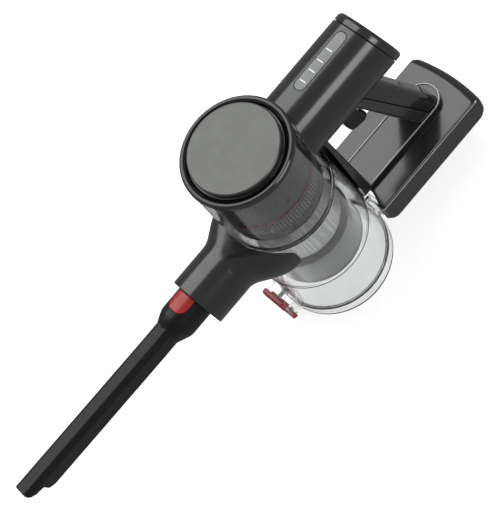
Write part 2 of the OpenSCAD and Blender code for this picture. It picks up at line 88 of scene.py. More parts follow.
JACK_Z = 48.5                       # charging port in the battery's rear face
FELT = (0.7, 0.66, 0.58)


def wall_r(z):
    return FOOT_R - TAPER * z


# ---------------------------------------------------------------- materials
def link(tree, a, b):
    tree.links.new(a, b)


def noise(tree, scale, detail=3.0, stretch=None):
    """A noise value over the object's own coordinates."""
    coord = tree.nodes.new("ShaderNodeTexCoord")
    tex = tree.nodes.new("ShaderNodeTexNoise")
    tex.inputs["Scale"].default_value = scale
    tex.inputs["Detail"].default_value = detail
    source = coord.outputs["Object"]
    if stretch:
        mapping = tree.nodes.new("ShaderNodeMapping")
        mapping.inputs["Scale"].default_value = stretch
        link(tree, source, mapping.inputs["Vector"])
        source = mapping.outputs["Vector"]
    link(tree, source, tex.inputs["Vector"])
    return tex.outputs["Fac"]


def remap(tree, value, low, high, a=0.3, b=0.7):
    node = tree.nodes.new("ShaderNodeMapRange")
    for i, v in enumerate((a, b, low, high), 1):
        node.inputs[i].default_value = v
    link(tree, value, node.inputs[0])
    return node.outputs[0]


def mixed(tree, factor, a, b):
    node = tree.nodes.new("ShaderNodeMix")
    node.data_type = "RGBA"
    link(tree, factor, node.inputs["Factor"])
    for socket, value in ((node.inputs[6], a), (node.inputs[7], b)):
        if isinstance(value, (tuple, list)):
            socket.default_value = (*value[:3], 1)
        else:
            link(tree, value, socket)
    return node.outputs[2]


def scaled(colour, k):
    return tuple(min(1.0, c * k) for c in colour)


def edge_mask(tree, radius):
    """1 on edges, which the finish lightens partly as wear and partly as a painted highlight; 0 on open
    faces.
    """
    bevel = tree.nodes.new("ShaderNodeBevel")
    bevel.samples = 4
    bevel.inputs["Radius"].default_value = radius
    geometry = tree.nodes.new("ShaderNodeNewGeometry")
    dot = tree.nodes.new("ShaderNodeVectorMath")
    dot.operation = "DOT_PRODUCT"
    link(tree, bevel.outputs[0], dot.inputs[0])
    link(tree, geometry.outputs["Normal"], dot.inputs[1])
    edge = remap(tree, dot.outputs["Value"], 1.0, 0.0, 0.86, 0.99)
    blend = tree.nodes.new("ShaderNodeMix")
    blend.data_type = "VECTOR"
    link(tree, edge, blend.inputs["Factor"])
    link(tree, geometry.outputs["Normal"], blend.inputs[4])
    link(tree, bevel.outputs[0], blend.inputs[5])
    unit = tree.nodes.new("ShaderNodeVectorMath")
    unit.operation = "NORMALIZE"
    link(tree, blend.outputs[1], unit.inputs[0])
    return edge, unit.outputs[0]


def finish(slot, base, rough, metal=0.0, spec=0.5, coat=0.0, coat_rough=0.08, mottle=0.06,
           mottle_scale=70.0, rough_var=0.05, grain=0.002, grain_scale=2600.0, brushed=None,
           round_edges=0.0006, wear_and_highlight=0.25, sheen=0.0, glow=0.0, pattern=None):
    """A lacquer, moulded plastic or metal: mottled colour, uneven roughness, fine grain, edges lightened
    partly as wear and partly as a painted highlight.
    """
    mat = bpy.data.materials.new(slot)
    mat.use_nodes = True
    tree = mat.node_tree
    shader = tree.nodes["Principled BSDF"]
    patches = remap(tree, noise(tree, mottle_scale, 4, brushed), 0, 1)
    colour = mixed(tree, patches, scaled(base, 1 - mottle), scaled(base, 1 + mottle))
    edge, round_normal = edge_mask(tree, round_edges)
    # Edges take a lighter colour: partly wear, and where the amount is raised, as on the lid disc, a painted
    # highlight for the light its chamfer catches.
    worn_and_highlit_edge = tree.nodes.new("ShaderNodeMath")
    worn_and_highlit_edge.operation = "MULTIPLY"
    link(tree, edge, worn_and_highlit_edge.inputs[0])
    link(tree, remap(tree, noise(tree, 160, 5), 0, wear_and_highlight), worn_and_highlit_edge.inputs[1])
    light = tuple(min(1.0, c * 1.25 + 0.08) for c in base)
    colour = mixed(tree, worn_and_highlit_edge.outputs[0], colour, light)
    height = noise(tree, grain_scale, 2, brushed)
    if pattern:
        colour, height = pattern(tree, colour, height)
    link(tree, colour, shader.inputs["Base Color"])
    smudge = noise(tree, 38, 6)
    link(tree, remap(tree, smudge, max(0.02, rough - rough_var), rough + rough_var, 0.25, 0.75),
         shader.inputs["Roughness"])
    shader.inputs["Metallic"].default_value = metal
    shader.inputs["Specular IOR Level"].default_value = spec
    shader.inputs["Coat Weight"].default_value = coat
    shader.inputs["Coat Roughness"].default_value = coat_rough
    shader.inputs["Sheen Weight"].default_value = sheen
    if glow:
        shader.inputs["Emission Color"].default_value = (*base, 1)
        shader.inputs["Emission Strength"].default_value = glow
    bump = tree.nodes.new("ShaderNodeBump")
    bump.inputs["Strength"].default_value = 0.35
    bump.inputs["Distance"].default_value = grain * MM
    link(tree, height, bump.inputs["Height"])
    link(tree, round_normal, bump.inputs["Normal"])
    link(tree, bump.outputs[0], shader.inputs["Normal"])
    return mat


def clear(slot, base, rough=0.03, ior=1.45, waves=0.02):
    """Moulded see-through plastic: a slight tint, faint flow marks and a little haze."""
    mat = bpy.data.materials.new(slot)
    mat.use_nodes = True
    tree = mat.node_tree
    shader = tree.nodes["Principled BSDF"]
    flow = noise(tree, 45, 3, (1, 1, 0.3))
    link(tree, mixed(tree, remap(tree, flow, 0, 1), scaled(base, 0.97), scaled(base, 1.03)),
         shader.inputs["Base Color"])
    link(tree, remap(tree, noise(tree, 90, 6), rough, rough + 0.05, 0.3, 0.8), shader.inputs["Roughness"])
    shader.inputs["Transmission Weight"].default_value = 1.0
    shader.inputs["IOR"].default_value = ior
    bump = tree.nodes.new("ShaderNodeBump")
    bump.inputs["Strength"].default_value = 0.3
    bump.inputs["Distance"].default_value = waves * MM
    link(tree, noise(tree, 30, 2), bump.inputs["Height"])
    link(tree, bump.outputs[0], shader.inputs["Normal"])
    return mat


def mesh_holes(tree, colour, height):
    """Rows of tiny round holes, as in an etched steel shroud; the holes are painted near-black, a painted
    shade for the dark seen through them.
    """
    coord = tree.nodes.new("ShaderNodeTexCoord")
    dots = tree.nodes.new("ShaderNodeTexVoronoi")
    dots.inputs["Scale"].default_value = 700
    dots.inputs["Randomness"].default_value = 0.25
    link(tree, coord.outputs["Object"], dots.inputs["Vector"])
    # the near-black in the holes is painted shade
    hole = remap(tree, dots.outputs["Distance"], 1, 0, 0.3, 0.42)
    solid = remap(tree, dots.outputs["Distance"], 0, 1, 0.3, 0.42)
    return mixed(tree, hole, colour, (0.02, 0.02, 0.02)), solid


def pleats(tree, colour, height):
    """Fine pleats of felt along Z, painted a quarter darker in their valleys: painted shade in the creases.
    """
    coord = tree.nodes.new("ShaderNodeTexCoord")
    wave = tree.nodes.new("ShaderNodeTexWave")
    wave.inputs["Scale"].default_value = 90
    wave.inputs["Distortion"].default_value = 0.4
    link(tree, coord.outputs["Object"], wave.inputs["Vector"])
    return mixed(tree, wave.outputs["Fac"], scaled(FELT, 0.75), colour), wave.outputs["Fac"]


def coils(tree, colour, height):
    """Turns of enamelled wire, painted darker in the grooves between turns: painted shade."""
    coord = tree.nodes.new("ShaderNodeTexCoord")
    wave = tree.nodes.new("ShaderNodeTexWave")
    wave.inputs["Scale"].default_value = 350
    link(tree, coord.outputs["Object"], wave.inputs["Vector"])
    return mixed(tree, wave.outputs["Fac"], (0.2, 0.07, 0.02), colour), wave.outputs["Fac"]


MATS = {
    "gunmetal": finish("gunmetal", (0.085, 0.088, 0.085), 0.2, metal=0.8, coat=0.35, coat_rough=0.08,
                       mottle=0.04, rough_var=0.03, grain=0.0003, grain_scale=1800),
    # The lid disc's edges are lightened twice as much: a painted highlight for the light line along its
    # chamfer.
    "cap_grey": finish("cap_grey", (0.125, 0.129, 0.122), 0.3, metal=0.7, coat=0.1, rough_var=0.015,
                       grain=0.0006, grain_scale=1800, wear_and_highlight=0.5),
    "rim_dark": finish("rim_dark", (0.03, 0.031, 0.031), 0.14, metal=0.3, coat=0.7, rough_var=0.03,
                       grain=0.0003, grain_scale=1800),
    "black_gloss": finish("black_gloss", (0.012, 0.012, 0.0125), 0.1, coat=0.7, coat_rough=0.05,
                          rough_var=0.03, grain=0.0002, grain_scale=1800),
    "black_satin": finish("black_satin", (0.01, 0.0102, 0.0105), 0.3, spec=0.35, mottle=0.12, grain=0.001,
                          grain_scale=1800, rough_var=0.04),
    "red_button": finish("red_button", (0.48, 0.03, 0.022), 0.28, coat=0.3, mottle=0.05, grain=0.002),
    "red_latch": finish("red_latch", (0.36, 0.012, 0.018), 0.18, coat=0.5, mottle=0.06, grain=0.001),
    "clear_plastic": clear("clear_plastic", (0.93, 0.94, 0.94)),
    "smoke_plastic": clear("smoke_plastic", (0.5, 0.5, 0.51), 0.03),
    "head_grey": finish("head_grey", (0.06, 0.06, 0.064), 0.3, coat=0.2, mottle=0.06, grain=0.0005),
    "rubber": finish("rubber", (0.018, 0.018, 0.019), 0.62, mottle=0.15, grain=0.012, grain_scale=1500),
    "steel": finish("steel", (0.55, 0.56, 0.57), 0.24, metal=1.0, brushed=(1, 8, 1), grain=0.003),
    "mesh_steel": finish("mesh_steel", (0.5, 0.5, 0.5), 0.34, metal=0.75, grain=0.05, pattern=mesh_holes),
    "contact_brass": finish("contact_brass", (0.62, 0.42, 0.14), 0.25, metal=1.0, grain=0.003),
    "windings": finish("windings", (0.5, 0.2, 0.06), 0.35, metal=0.8, grain=0.3, pattern=coils),
    "board_green": finish("board_green", (0.02, 0.12, 0.05), 0.4, coat=0.2, mottle=0.12, grain=0.003),
    "filter_media": finish("filter_media", FELT, 0.85, sheen=0.3, mottle=0.08, grain=0.4,
                           grain_scale=1200, pattern=pleats),
    "cell_wrap": finish("cell_wrap", (0.06, 0.19, 0.4), 0.28, coat=0.3, mottle=0.05, grain=0.002),
    "trim_silver": finish("trim_silver", (0.62, 0.625, 0.61), 0.25, metal=0.3, mottle=0.05, grain=0.0005),
    "panel_grey": finish("panel_grey", (0.27, 0.285, 0.28), 0.3, coat=0.3, mottle=0.05, grain=0.001),
    "white_light": finish("white_light", (0.9, 0.9, 0.89), 0.4, glow=0.25, mottle=0.02),
    "switch_blue": finish("switch_blue", (0.02, 0.06, 0.18), 0.42, mottle=0.08, grain=0.003),
}
for row in frame["record"]["subparts"]:
    shown = nodes[row["node"]]
    shown.data.materials.clear()
    shown.data.materials.append(MATS[row["material_slot"]])


# ---------------------------------------------------------------- mesh tools
def raw(name, verts, faces):
    """A closed mesh from points in millimetres, normals outward."""
    mesh = bpy.data.meshes.new(name)
    mesh.from_pydata([(x * MM, y * MM, z * MM) for x, y, z in verts], [], faces)
    work = bmesh.new()
    work.from_mesh(mesh)
    bmesh.ops.remove_doubles(work, verts=work.verts, dist=2e-6)
    bmesh.ops.dissolve_degenerate(work, dist=1e-6, edges=work.edges)
    bmesh.ops.delete(work, geom=[e for e in work.edges if not e.link_faces], context="EDGES")
    bmesh.ops.recalc_face_normals(work, faces=work.faces)
    work.to_mesh(mesh)
    work.free()
    piece = bpy.data.objects.new(name, mesh)
    scene.collection.objects.link(piece)
    return piece


def rounded(points, seg=6):
    """Closed outline with each corner (u, v, radius) rounded."""
    out, n = [], len(points)
    for i, (u, v, r) in enumerate(points):
        p = Vector((u, v))
        a, b = Vector(points[i - 1][:2]) - p, Vector(points[(i + 1) % n][:2]) - p
        if r <= 0 or a.length < 1e-6 or b.length < 1e-6:
            out.append((u, v))
            continue
        la, lb = a.length, b.length
        a.normalize(), b.normalize()
        angle = acos(max(-1, min(1, a.dot(b))))
        if angle > pi - 0.02:
            out.append((u, v))
            continue
        t = min(r / tan(angle / 2), la * 0.49, lb * 0.49)
        rr = t * tan(angle / 2)
        c = p + (a + b).normalized() * (rr / sin(angle / 2))
        s, e = p + a * t - c, p + b * t - c
        a0 = atan2(s.y, s.x)
        turn = (atan2(e.y, e.x) - a0 + pi) % (2 * pi) - pi
        for k in range(seg + 1):
            w = a0 + turn * k / seg
            out.append((c.x + rr * cos(w), c.y + rr * sin(w)))
    return out


def inset(outline, d):
    """Outline moved inward by d."""
    n = len(outline)
    area = sum(outline[i - 1][0] * outline[i][1] - outline[i][0] * outline[i - 1][1] for i in range(n))
    side = 1 if area > 0 else -1
    out = []
    for i in range(n):
        p = Vector(outline[i])
        a, b = p - Vector(outline[i - 1]), Vector(outline[(i + 1) % n]) - p
        if a.length < 1e-9:
            a = b
        if b.length < 1e-9:
            b = a
        na, nb = Vector((-a.y, a.x)).normalized(), Vector((-b.y, b.x)).normalized()
        m = (na + nb) / max(0.35, 1 + na.dot(nb))
        q = p + m * d * side
        out.append((q.x, q.y))
    return out


def skin(name, rings, loop=False):
    """Closed surface through rings of equal length; loop joins the last ring to the first."""
    n, verts, faces = len(rings[0]), [v for r in rings for v in r], []
    count = len(rings)
    for i in range(count if loop else count - 1):
        a, b = i * n, ((i + 1) % count) * n
        faces += [(a + k, a + (k + 1) % n, b + (k + 1) % n, b + k) for k in range(n)]
    if not loop:
        faces.append(tuple(range(n))[::-1])
        faces.append(tuple((count - 1) * n + k for k in range(n)))
    return raw(name, verts, faces)


def slab(name, outline, place, low, high, edge=1.0, seg=4):
    """Outline drawn from low to high with rounded rims; place(u, v, w) gives a point."""
    edge = min(edge, abs(high - low) / 2 - 1e-3)
    steps = [(edge * (1 - sin(k / seg * pi / 2)), low + edge * (1 - cos(k / seg * pi / 2)))
             for k in range(seg + 1)]
    steps += [(d, low + high - w) for d, w in reversed(steps)]
    return skin(name, [[place(u, v, w) for u, v in inset(outline, d)] for d, w in steps])


def flat_xy(u, v, w):
    return (u, v, w)


def flat_xz(u, v, w):
    return (u, w, v)


def lathe(name, profile, axis="Z", centre=(0, 0), seg=128, shift=None):
    """Closed profile of (radius, height) points turned about an axis."""
    rings = []
    for k in range(seg):
        w = 2 * pi * k / seg
        ring = []
        for r, h in profile:
            c, s = r * cos(w), r * sin(w)
            p = {"Z": (centre[0] + c, centre[1] + s, h), "X": (h, centre[0] + c, centre[1] + s),
                 "Y": (centre[0] + c, h, centre[1] + s)}[axis]
            ring.append(shift(*p) if shift else p)
        rings.append(ring)
    return skin(name, rings, loop=True)


def bake_modifiers(piece):
    made = bpy.data.meshes.new_from_object(
        piece.evaluated_get(bpy.context.evaluated_depsgraph_get()))
    piece.modifiers.clear()
    old, piece.data = piece.data, made
    bpy.data.meshes.remove(old)


def combine(piece, how, *others):
    """Boolean of closed meshes, applied at once; the other meshes are used up."""
    for other in others:
        step = piece.modifiers.new("cut", "BOOLEAN")
        step.operation, step.object, step.solver = how, other, "EXACT"
        bpy.context.view_layer.update()
        bake_modifiers(piece)
        mesh = other.data
        bpy.data.objects.remove(other)
        bpy.data.meshes.remove(mesh)
    return piece


def cut(piece, *others):
    return combine(piece, "DIFFERENCE", *others)


def joined(name, pieces):
    """Several separate closed meshes kept as one object."""
    verts, faces = [], []
    for piece in pieces:
        base = len(verts)
        verts += [tuple(c / MM for c in v.co) for v in piece.data.vertices]
        faces += [tuple(base + i for i in f.vertices) for f in piece.data.polygons]
        mesh = piece.data
        bpy.data.objects.remove(piece)
        bpy.data.meshes.remove(mesh)
    return raw(name, verts, faces)


def block(x0, x1, y0, y1, z0, z1, r=0.0, edge=0.0):
    outline = rounded([(x0, y0, r), (x1, y0, r), (x1, y1, r), (x0, y1, r)], 5)
    if edge:
        return slab("block", outline, flat_xy, z0, z1, edge)
    return skin("block", [[(u, v, z0) for u, v in outline], [(u, v, z1) for u, v in outline]])


def rod(r, h0, h1, axis="Z", centre=(0, 0), seg=96, edge=0.0):
    return lathe("rod", rounded([(0, h0, 0), (r, h0, edge), (r, h1, edge), (0, h1, 0)], 4), axis, centre, seg)


def put(piece, name, slot, body, *replaced, crease=32):
    """Names a finished piece, gives it its material and shading, and ties it to a body."""
    piece.name = name
    piece.data.name = name
    work = bmesh.new()
    work.from_mesh(piece.data)
    bmesh.ops.remove_doubles(work, verts=work.verts, dist=2e-6)
    bmesh.ops.dissolve_degenerate(work, dist=2e-6, edges=work.edges)
    for f in work.faces:
        f.smooth = True
    for e in work.edges:
        e.smooth = len(e.link_faces) != 2 or e.calc_face_angle(0) < radians(crease)
    work.to_mesh(piece.data)
    work.free()
    piece.data.materials.clear()
    piece.data.materials.append(MATS[slot])
    shade = piece.modifiers.new("shade", "WEIGHTED_NORMAL")
    shade.keep_sharp = True
    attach(piece, body)
    if replaced:
        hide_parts(*replaced)
    return piece


def taper_solid(z0, z1, grow=0.0):
    return lathe("taper", [(0, z0), (wall_r(z0) + grow, z0), (wall_r(z1) + grow, z1), (0, z1)])


# ---------------------------------------------------------------- motor barrel
def lean_rear(x, y, z):
    return (x - (z - BARREL_Z) * LEAN if x > 120 else x, y, z)


def panel_prism(grow, z0=BARREL_Z + 25.4, z1=BARREL_Z + 37):
    r = 6.15 + grow
    x0, x1 = 76.3 - grow, 142 + grow
    outline = rounded([(x0, -r, r), (x1, -r, r), (x1, r, r), (x0, r, r)], 12)
    return skin("panel", [[(u, v, z0) for u, v in outline], [(u, v, z1) for u, v in outline]])


barrel = lathe("barrel", rounded([(31.3, 40, 0), (BARREL_R, 40, 0), (BARREL_R, SEAM_X - 0.25, 0.5),
                                  (31.3, SEAM_X - 0.25, 0.4)]), "X", (0, BARREL_Z), 160, lean_rear)
cut(barrel, taper_solid(150, 266, 0.05), rod(54.85, 255.9, 272), panel_prism(0.35))
put(barrel, "barrel_skin", "gunmetal", "main_body", "barrel_shell")
liner = rounded([(31.25, SEAM_X - 3, 0), (31.25, SEAM_X + 3, 0), (30.4, SEAM_X + 3, 0.2),
                 (30.4, SEAM_X - 3, 0.2)])
put(lathe("liner", liner, "X", (0, BARREL_Z), 128, lean_rear), "seam_liner", "black_satin", "main_body")

CAP_FACE = SEAM_X + 9.2
cap = lathe("cap", rounded([(0, CAP_FACE - 2.4, 0), (31.3, CAP_FACE - 3.0, 2), (31.3, SEAM_X + 0.45, 0.4),
                            (BARREL_R, SEAM_X + 0.45, 0.6), (BARREL_R, CAP_FACE, 4.6), (0, CAP_FACE, 0)], 8),
            "X", (0, BARREL_Z), 160, lean_rear)
BOX_FACES = [(0, 1, 3, 2), (4, 6, 7, 5), (0, 4, 5, 1), (2, 3, 7, 6), (0, 2, 6, 4), (1, 5, 7, 3)]
vents = []
for r, count in ((10.5, 15), (17.5, 30), (24.5, 30)):
    for k in range(count):
        w = 2 * pi * k / count
        turned = Matrix.Rotation(w, 3, "X")
        corners = [turned @ Vector((x, y, z))
                   for x in (150, 190) for z in (r - 2.4, r + 2.4) for y in (-0.8, 0.8)]
        vents.append(raw("vent", [(p.x, p.y, p.z + BARREL_Z) for p in corners], BOX_FACES))
cut(cap, joined("vents", vents))
put(cap, "end_cap_vented", "gunmetal", "main_body", "barrel_end_cap")

BAR_X = (85.8, 97.9, 109.3, 121.7)
MARK_LOW, MARK_HIGH = BARREL_Z + 29.5, BARREL_Z + 35.5


def panel_band(name, r_in, r_out, seg=192):
    return lathe(name, [(r_in, 70), (r_out, 70), (r_out, 148), (r_in, 148)], "X", (0, BARREL_Z), seg)


panel = combine(panel_band("panel", 31.4, BARREL_R - 0.12), "INTERSECT", panel_prism(-0.3))
icon = cut(block(131.4, 137.0, -3.6, 3.6, MARK_LOW, MARK_HIGH, 0.8),
           block(132.05, 136.35, -2.95, 2.95, MARK_LOW - 1, MARK_HIGH + 1, 0.4))
slots = [block(x - 0.7, x + 0.7, -3.8, 3.8, MARK_LOW, MARK_HIGH, 0.6) for x in BAR_X]
cut(panel, joined("marks", [icon] + slots))
put(panel, "level_panel", "panel_grey", "main_body", "led_panel")
bars = [combine(panel_band("bar", 31.5, BARREL_R - 0.02), "INTERSECT",
                block(x - 0.62, x + 0.62, -3.7, 3.7, MARK_LOW, MARK_HIGH, 0.5)) for x in BAR_X]
put(joined("bars", bars), "level_bars", "white_light", "main_body", "led_bars")
icon_ring = cut(block(131.5, 136.9, -3.5, 3.5, MARK_LOW, MARK_HIGH, 0.7),
                block(131.95, 136.45, -3.05, 3.05, MARK_LOW - 1, MARK_HIGH + 1, 0.4))
symbol = combine(panel_band("symbol", 31.5, BARREL_R - 0.1), "INTERSECT", icon_ring)
put(symbol, "level_symbol", "trim_silver", "main_body")
seat = combine(panel_band("seat", 30.2, BARREL_R - 2.1, 96), "INTERSECT", panel_prism(2.0))
put(seat, "level_panel_seat", "black_satin", "main_body")

# ---------------------------------------------------------------- cyclone
shell = rounded([(wall_r(165) - 2, 164.5, 0.4), (wall_r(165) + 0.55, 164.5, 0.5),
                 (wall_r(166) + 0.55, 166.1, 0.5), (wall_r(166.6), 166.7, 0.2),
                 (wall_r(168.4), 168.3, 0.2), (wall_r(169) + 0.35, 168.9, 0.4),
                 (wall_r(170) + 0.35, 170.3, 0.4), (wall_r(171), 171, 0.2), (wall_r(256), 256, 0.3),
                 (wall_r(256) - 2, 256, 0.3)], 4)
put(lathe("smoke", shell, seg=192), "tinted_shell", "smoke_plastic", "main_body", "smoke_shell")

put(lathe("rim", rounded([(48.7, 256, 0.3), (54.2, 256, 0.3), (54.8, 257, 0.8), (54.6, 260.6, 1.8),
                          (52.6, 262.3, 1.6), (50.4, 262.2, 1.2), (48.7, 260.2, 0.8)], 6), seg=192),
    "top_rim", "rim_dark", "main_body", "top_rim_ring")
put(lathe("disc", rounded([(0, 264.0, 0), (44.2, 264.0, 0.3), (44.8, 264.6, 0.4), (44.8, 266.5, 0.5),
                           (43.7, CAP_TOP, 0.45), (42.6, CAP_TOP - 0.25, 0.4),
                           (0, CAP_TOP - 0.25, 0)], 5),
          seg=192), "lid_disc", "cap_grey", "filter", "filter_cap")
put(lathe("holder", rounded([(0, 254.3, 0), (48.2, 254.3, 0.3), (48.2, 257.4, 0.8), (46.6, 259.6, 1.0),
                             (46.2, 261.8, 0.6), (44.6, 261.8, 0.4), (44.0, 263.9, 0.2),
                             (0, 263.9, 0)], 5), seg=192),
    "lid_holder", "black_gloss", "filter", "filter_holder")

head = lathe("head", rounded([(40.4, 174, 0.5), (HEAD_R - 0.6, 174, 0.6), (HEAD_R, 175.2, 0.3),
                              (HEAD_R, 177, 0.2), (HEAD_R - 0.7, 177.5, 0.2), (HEAD_R - 0.7, 178.5, 0.2),
                              (HEAD_R, 179, 0.3), (HEAD_R, 251.5, 0.4), (52.2, 252, 0.4), (52.2, 254, 0.3),
                              (47.5, 254, 0.3), (47.5, 176, 0.5), (40.4, 176, 0.3)], 3), seg=192)
cut(head, rod(23, 20, 80, "X", (0, BARREL_Z)))
put(head, "cyclone_drum", "head_grey", "main_body", "cyclone_head")
FIN_COUNT = 96
FIN_GAP = 0.45                      # no fins this near the barrel, in radians
fin_outline = rounded([(HEAD_R - 0.5, 191, 0), (HEAD_R + 0.95, 191, 0.8), (HEAD_R + 0.95, 204, 0.8),
                       (HEAD_R - 0.5, 204, 0)], 3)
fins = []
for k in range(FIN_COUNT):
    w = 2 * pi * k / FIN_COUNT
    if w < FIN_GAP or 2 * pi - w < FIN_GAP:
        continue
    c, s = cos(w), sin(w)
    rings = [[(r * c - t * s, r * s + t * c, h) for r, h in fin_outline] for t in (-0.42, 0.42)]
    fins.append(skin("fin", rings))
put(joined("fins", fins), "drum_fins", "trim_silver", "main_body", "slot_ring")
accent = rounded([(HEAD_R - 0.4, 207.7, 0), (HEAD_R + 0.9, 207.7, 0.5), (HEAD_R + 0.9, 210.3, 0.5),
                  (HEAD_R - 0.4, 210.3, 0)], 4)
put(lathe("accent", accent, seg=192), "accent_band", "red_button", "main_body", "accent_ring")

skirt = rounded([(46.4, 61.4, 0.4), (46.4, 59.5, 0.8), (48.4, 59.5, 1.0), (48.4, 62.5, 0.4), (47.9, 63, 0.2),
                 (47.9, 64, 0.2), (48.4, 64.5, 0.4), (48.4, 103.5, 2.5), (43.2, 110.2, 0.5), (41, 110.2, 0.5),
                 (41, 106, 1), (46.4, 102, 1)], 4)
put(lathe("skirt", skirt, seg=160), "skirt_skin", "rim_dark", "main_body", "shroud_skirt")

# ---------------------------------------------------------------- clear bin and its lid
cup_top = SEAM_Z - 0.3
cup = lathe("cup", rounded([
    (wall_r(16.3) - 2.2, 16.3, 0.4), (wall_r(16.3) + 0.5, 16.3, 0.5), (wall_r(20) + 0.5, 20.4, 0.5),
    (wall_r(21), 21, 0.3), (wall_r(72.4), 72.4, 0.2), (wall_r(73) + 0.5, 73, 0.3),
    (wall_r(74.4) + 0.5, 74.4, 0.3), (wall_r(75), 75, 0.2), (wall_r(77), 77, 0.2),
    (wall_r(77.5) + 0.4, 77.5, 0.2), (wall_r(78.4) + 0.4, 78.4, 0.2), (wall_r(79), 79, 0.2),
    (wall_r(cup_top), cup_top, 0.5), (wall_r(cup_top) - 2.2, cup_top, 0.5)], 4), seg=192)
SIDES = (-1, 1)
rails = [cut(block(50, 62.6, s * 20.5 - 1.3, s * 20.5 + 1.3, 24, 66, 0.9, 0.6), taper_solid(10, 170, -1))
         for s in SIDES]
ears = [cut(block(-74.4, -56, s * 16 - 1.5, s * 16 + 1.5, 19, 36, 1.2, 0.8), taper_solid(10, 60, -1))
        for s in SIDES]
lugs = [block(63.3, 70.4, s * 11.9 - 3.5, s * 11.9 + 3.5, 4.6, 24, 1.6, 1.2) for s in SIDES]
web = cut(block(52, 70.2, -15.4, 15.4, 17.2, 24, 1.5, 0.9), taper_solid(10, 40, -1))
for part in (*rails, *ears, web):
    combine(cup, "UNION", part)
for part in lugs:
    combine(cup, "UNION", cut(part, taper_solid(21, 40, -1)))
cut(cup, rod(1.55, -20, 20, "Y", HINGE_XZ), rod(1.55, -20, 20, "Y", LATCH_XZ),
    rod(OUTLET_R, -70, -40, "X", (0, OUTLET_Z)))
put(cup, "clear_cup", "clear_plastic", "bin", "bin_cup")

lid = lathe("lid", rounded([
    (0, 0, 0), (60.4, 0, 1.2), (62.3, 2.0, 0.8), (62.3, 4.8, 0.5), (61.3, 5.4, 0.3), (61.3, 6.6, 0.3),
    (62.3, 7.2, 0.5), (62.3, 10.2, 0.5), (61.3, 10.8, 0.3), (61.3, 12.0, 0.3), (62.3, 12.6, 0.5),
    (62.3, 16, 0.5), (60, 16, 0.3), (60, 14.1, 0.1), (58.6, 14.1, 0.3), (58.6, 3, 1.5), (40, 3, 0.5),
    (39.2, 3.8, 0.3), (38.4, 3, 0.3), (0, 3, 0)], 4), seg=192)
put(lid, "clear_lid", "clear_plastic", "lid", "bin_lid")
knuckle = combine(block(62.45, 66.5, -7.8, 7.8, 5.0, 11.0, 0.3, 0.5), "UNION",
                  rod(3.3, -7.9, 7.9, "Y", HINGE_XZ, 48, 0.4))
cut(knuckle, rod(1.6, -20, 20, "Y", HINGE_XZ))
put(joined("fittings", [knuckle, block(-69.3, -62.45, -11, 11, 3.6, 7.6, 1.5, 1.0)]),
    "lid_fittings", "clear_plastic", "lid")
seal = rounded([(52, 163.2, 0.5), (54.1, 163.2, 0.6), (54.1, 165.0, 0.6), (52, 165.0, 0.5)], 4)
put(lathe("seal", seal, seg=192), "seal_ring", "rubber", "main_body", "bin_seal")

lever = slab("lever", rounded([(-75.8, 6, 2.2), (-70, 4.5, 1.6), (-70, 22.5, 1.5), (-67.8, 24.5, 2),
                               (-67.8, 29.5, 2), (-70, 31.5, 1.5), (-70.1, 35, 2), (-70.3, 46, 1.6),
                               (-76.0, 46, 2.4), (-76.8, 35, 6), (-75.0, 25, 8)], 6),
             flat_xz, -13.8, 13.8, 1.1)
cut(lever, rod(1.6, -20, 20, "Y", LATCH_XZ))
for z in (31.5, 34.5, 37.5):
    cut(lever, rod(0.6, -11.5, 11.5, "Y", (-76.6, z), 24, 0.3))
put(lever, "latch_lever", "red_latch", "latch", "bin_latch")

# ---------------------------------------------------------------- inlet duct
def loop_yz(x, half_w, centre_z, half_h, power, count=96):
    out = []
    for k in range(count):
        w = 2 * pi * k / count
        c, s = cos(w), sin(w)
        out.append((x, half_w * abs(c) ** (2 / power) * (1 if c > 0 else -1),
                    centre_z + half_h * abs(s) ** (2 / power) * (1 if s > 0 else -1)))
    return out


def blend_stations(stations, steps):
    """Smooth rows between stations of equal length (Catmull-Rom)."""
    out = []
    for i in range(len(stations) - 1):
        p = [stations[max(0, min(len(stations) - 1, i + k))] for k in (-1, 0, 1, 2)]
        for j in range(steps):
            t = j / steps
            out.append(tuple(0.5 * (2 * b + (c - a) * t + (2 * a - 5 * b + 4 * c - d) * t * t
                                    + (3 * b - a - 3 * c + d) * t ** 3) for a, b, c, d in zip(*p)))
    out.append(stations[-1])
    return out


# rows of x, half width, centre height, half height and squareness
flare = blend_stations([(-84, SOCKET_R, SOCKET_Z, SOCKET_R, 2.0), (-80, 29.0, 147.7, 28.7, 2.0),
                        (-74, 31.4, 147.2, 28.0, 2.05), (-67, 36.6, 146.2, 26.6, 2.2),
                        (-59, 42.2, 145.0, 25.0, 2.5), (-50, 46.6, 144.0, 23.4, 3.0),
                        (-41, 48.9, 143.2, 22.0, 3.6), (-31, 49.6, 143, 20.8, 4.0)], 5)
LIP = 0.9                           # rounding of the socket's mouth
rings = []
for k in range(5):
    mouth_r = SOCKET_R - LIP + LIP * sin(k / 4 * pi / 2)
    rings.append(loop_yz(SOCKET_X + LIP * (1 - cos(k / 4 * pi / 2)), mouth_r, SOCKET_Z, mouth_r, 2.0))
rings += [loop_yz(x, SOCKET_R, SOCKET_Z, SOCKET_R, 2.0) for x in (-120, -110, -100, -90)]
rings += [loop_yz(*row) for row in flare]
duct = skin("duct", rings)
cut(duct, taper_solid(60, 250, 0.6), rod(NECK_R + 0.4, -130, -98, "X", (0, NECK_Z)),
    rod(OUTLET_R, -99, -30, "X", (0, OUTLET_Z)))
put(duct, "inlet_skin", "gunmetal", "main_body", "inlet_duct", crease=40)

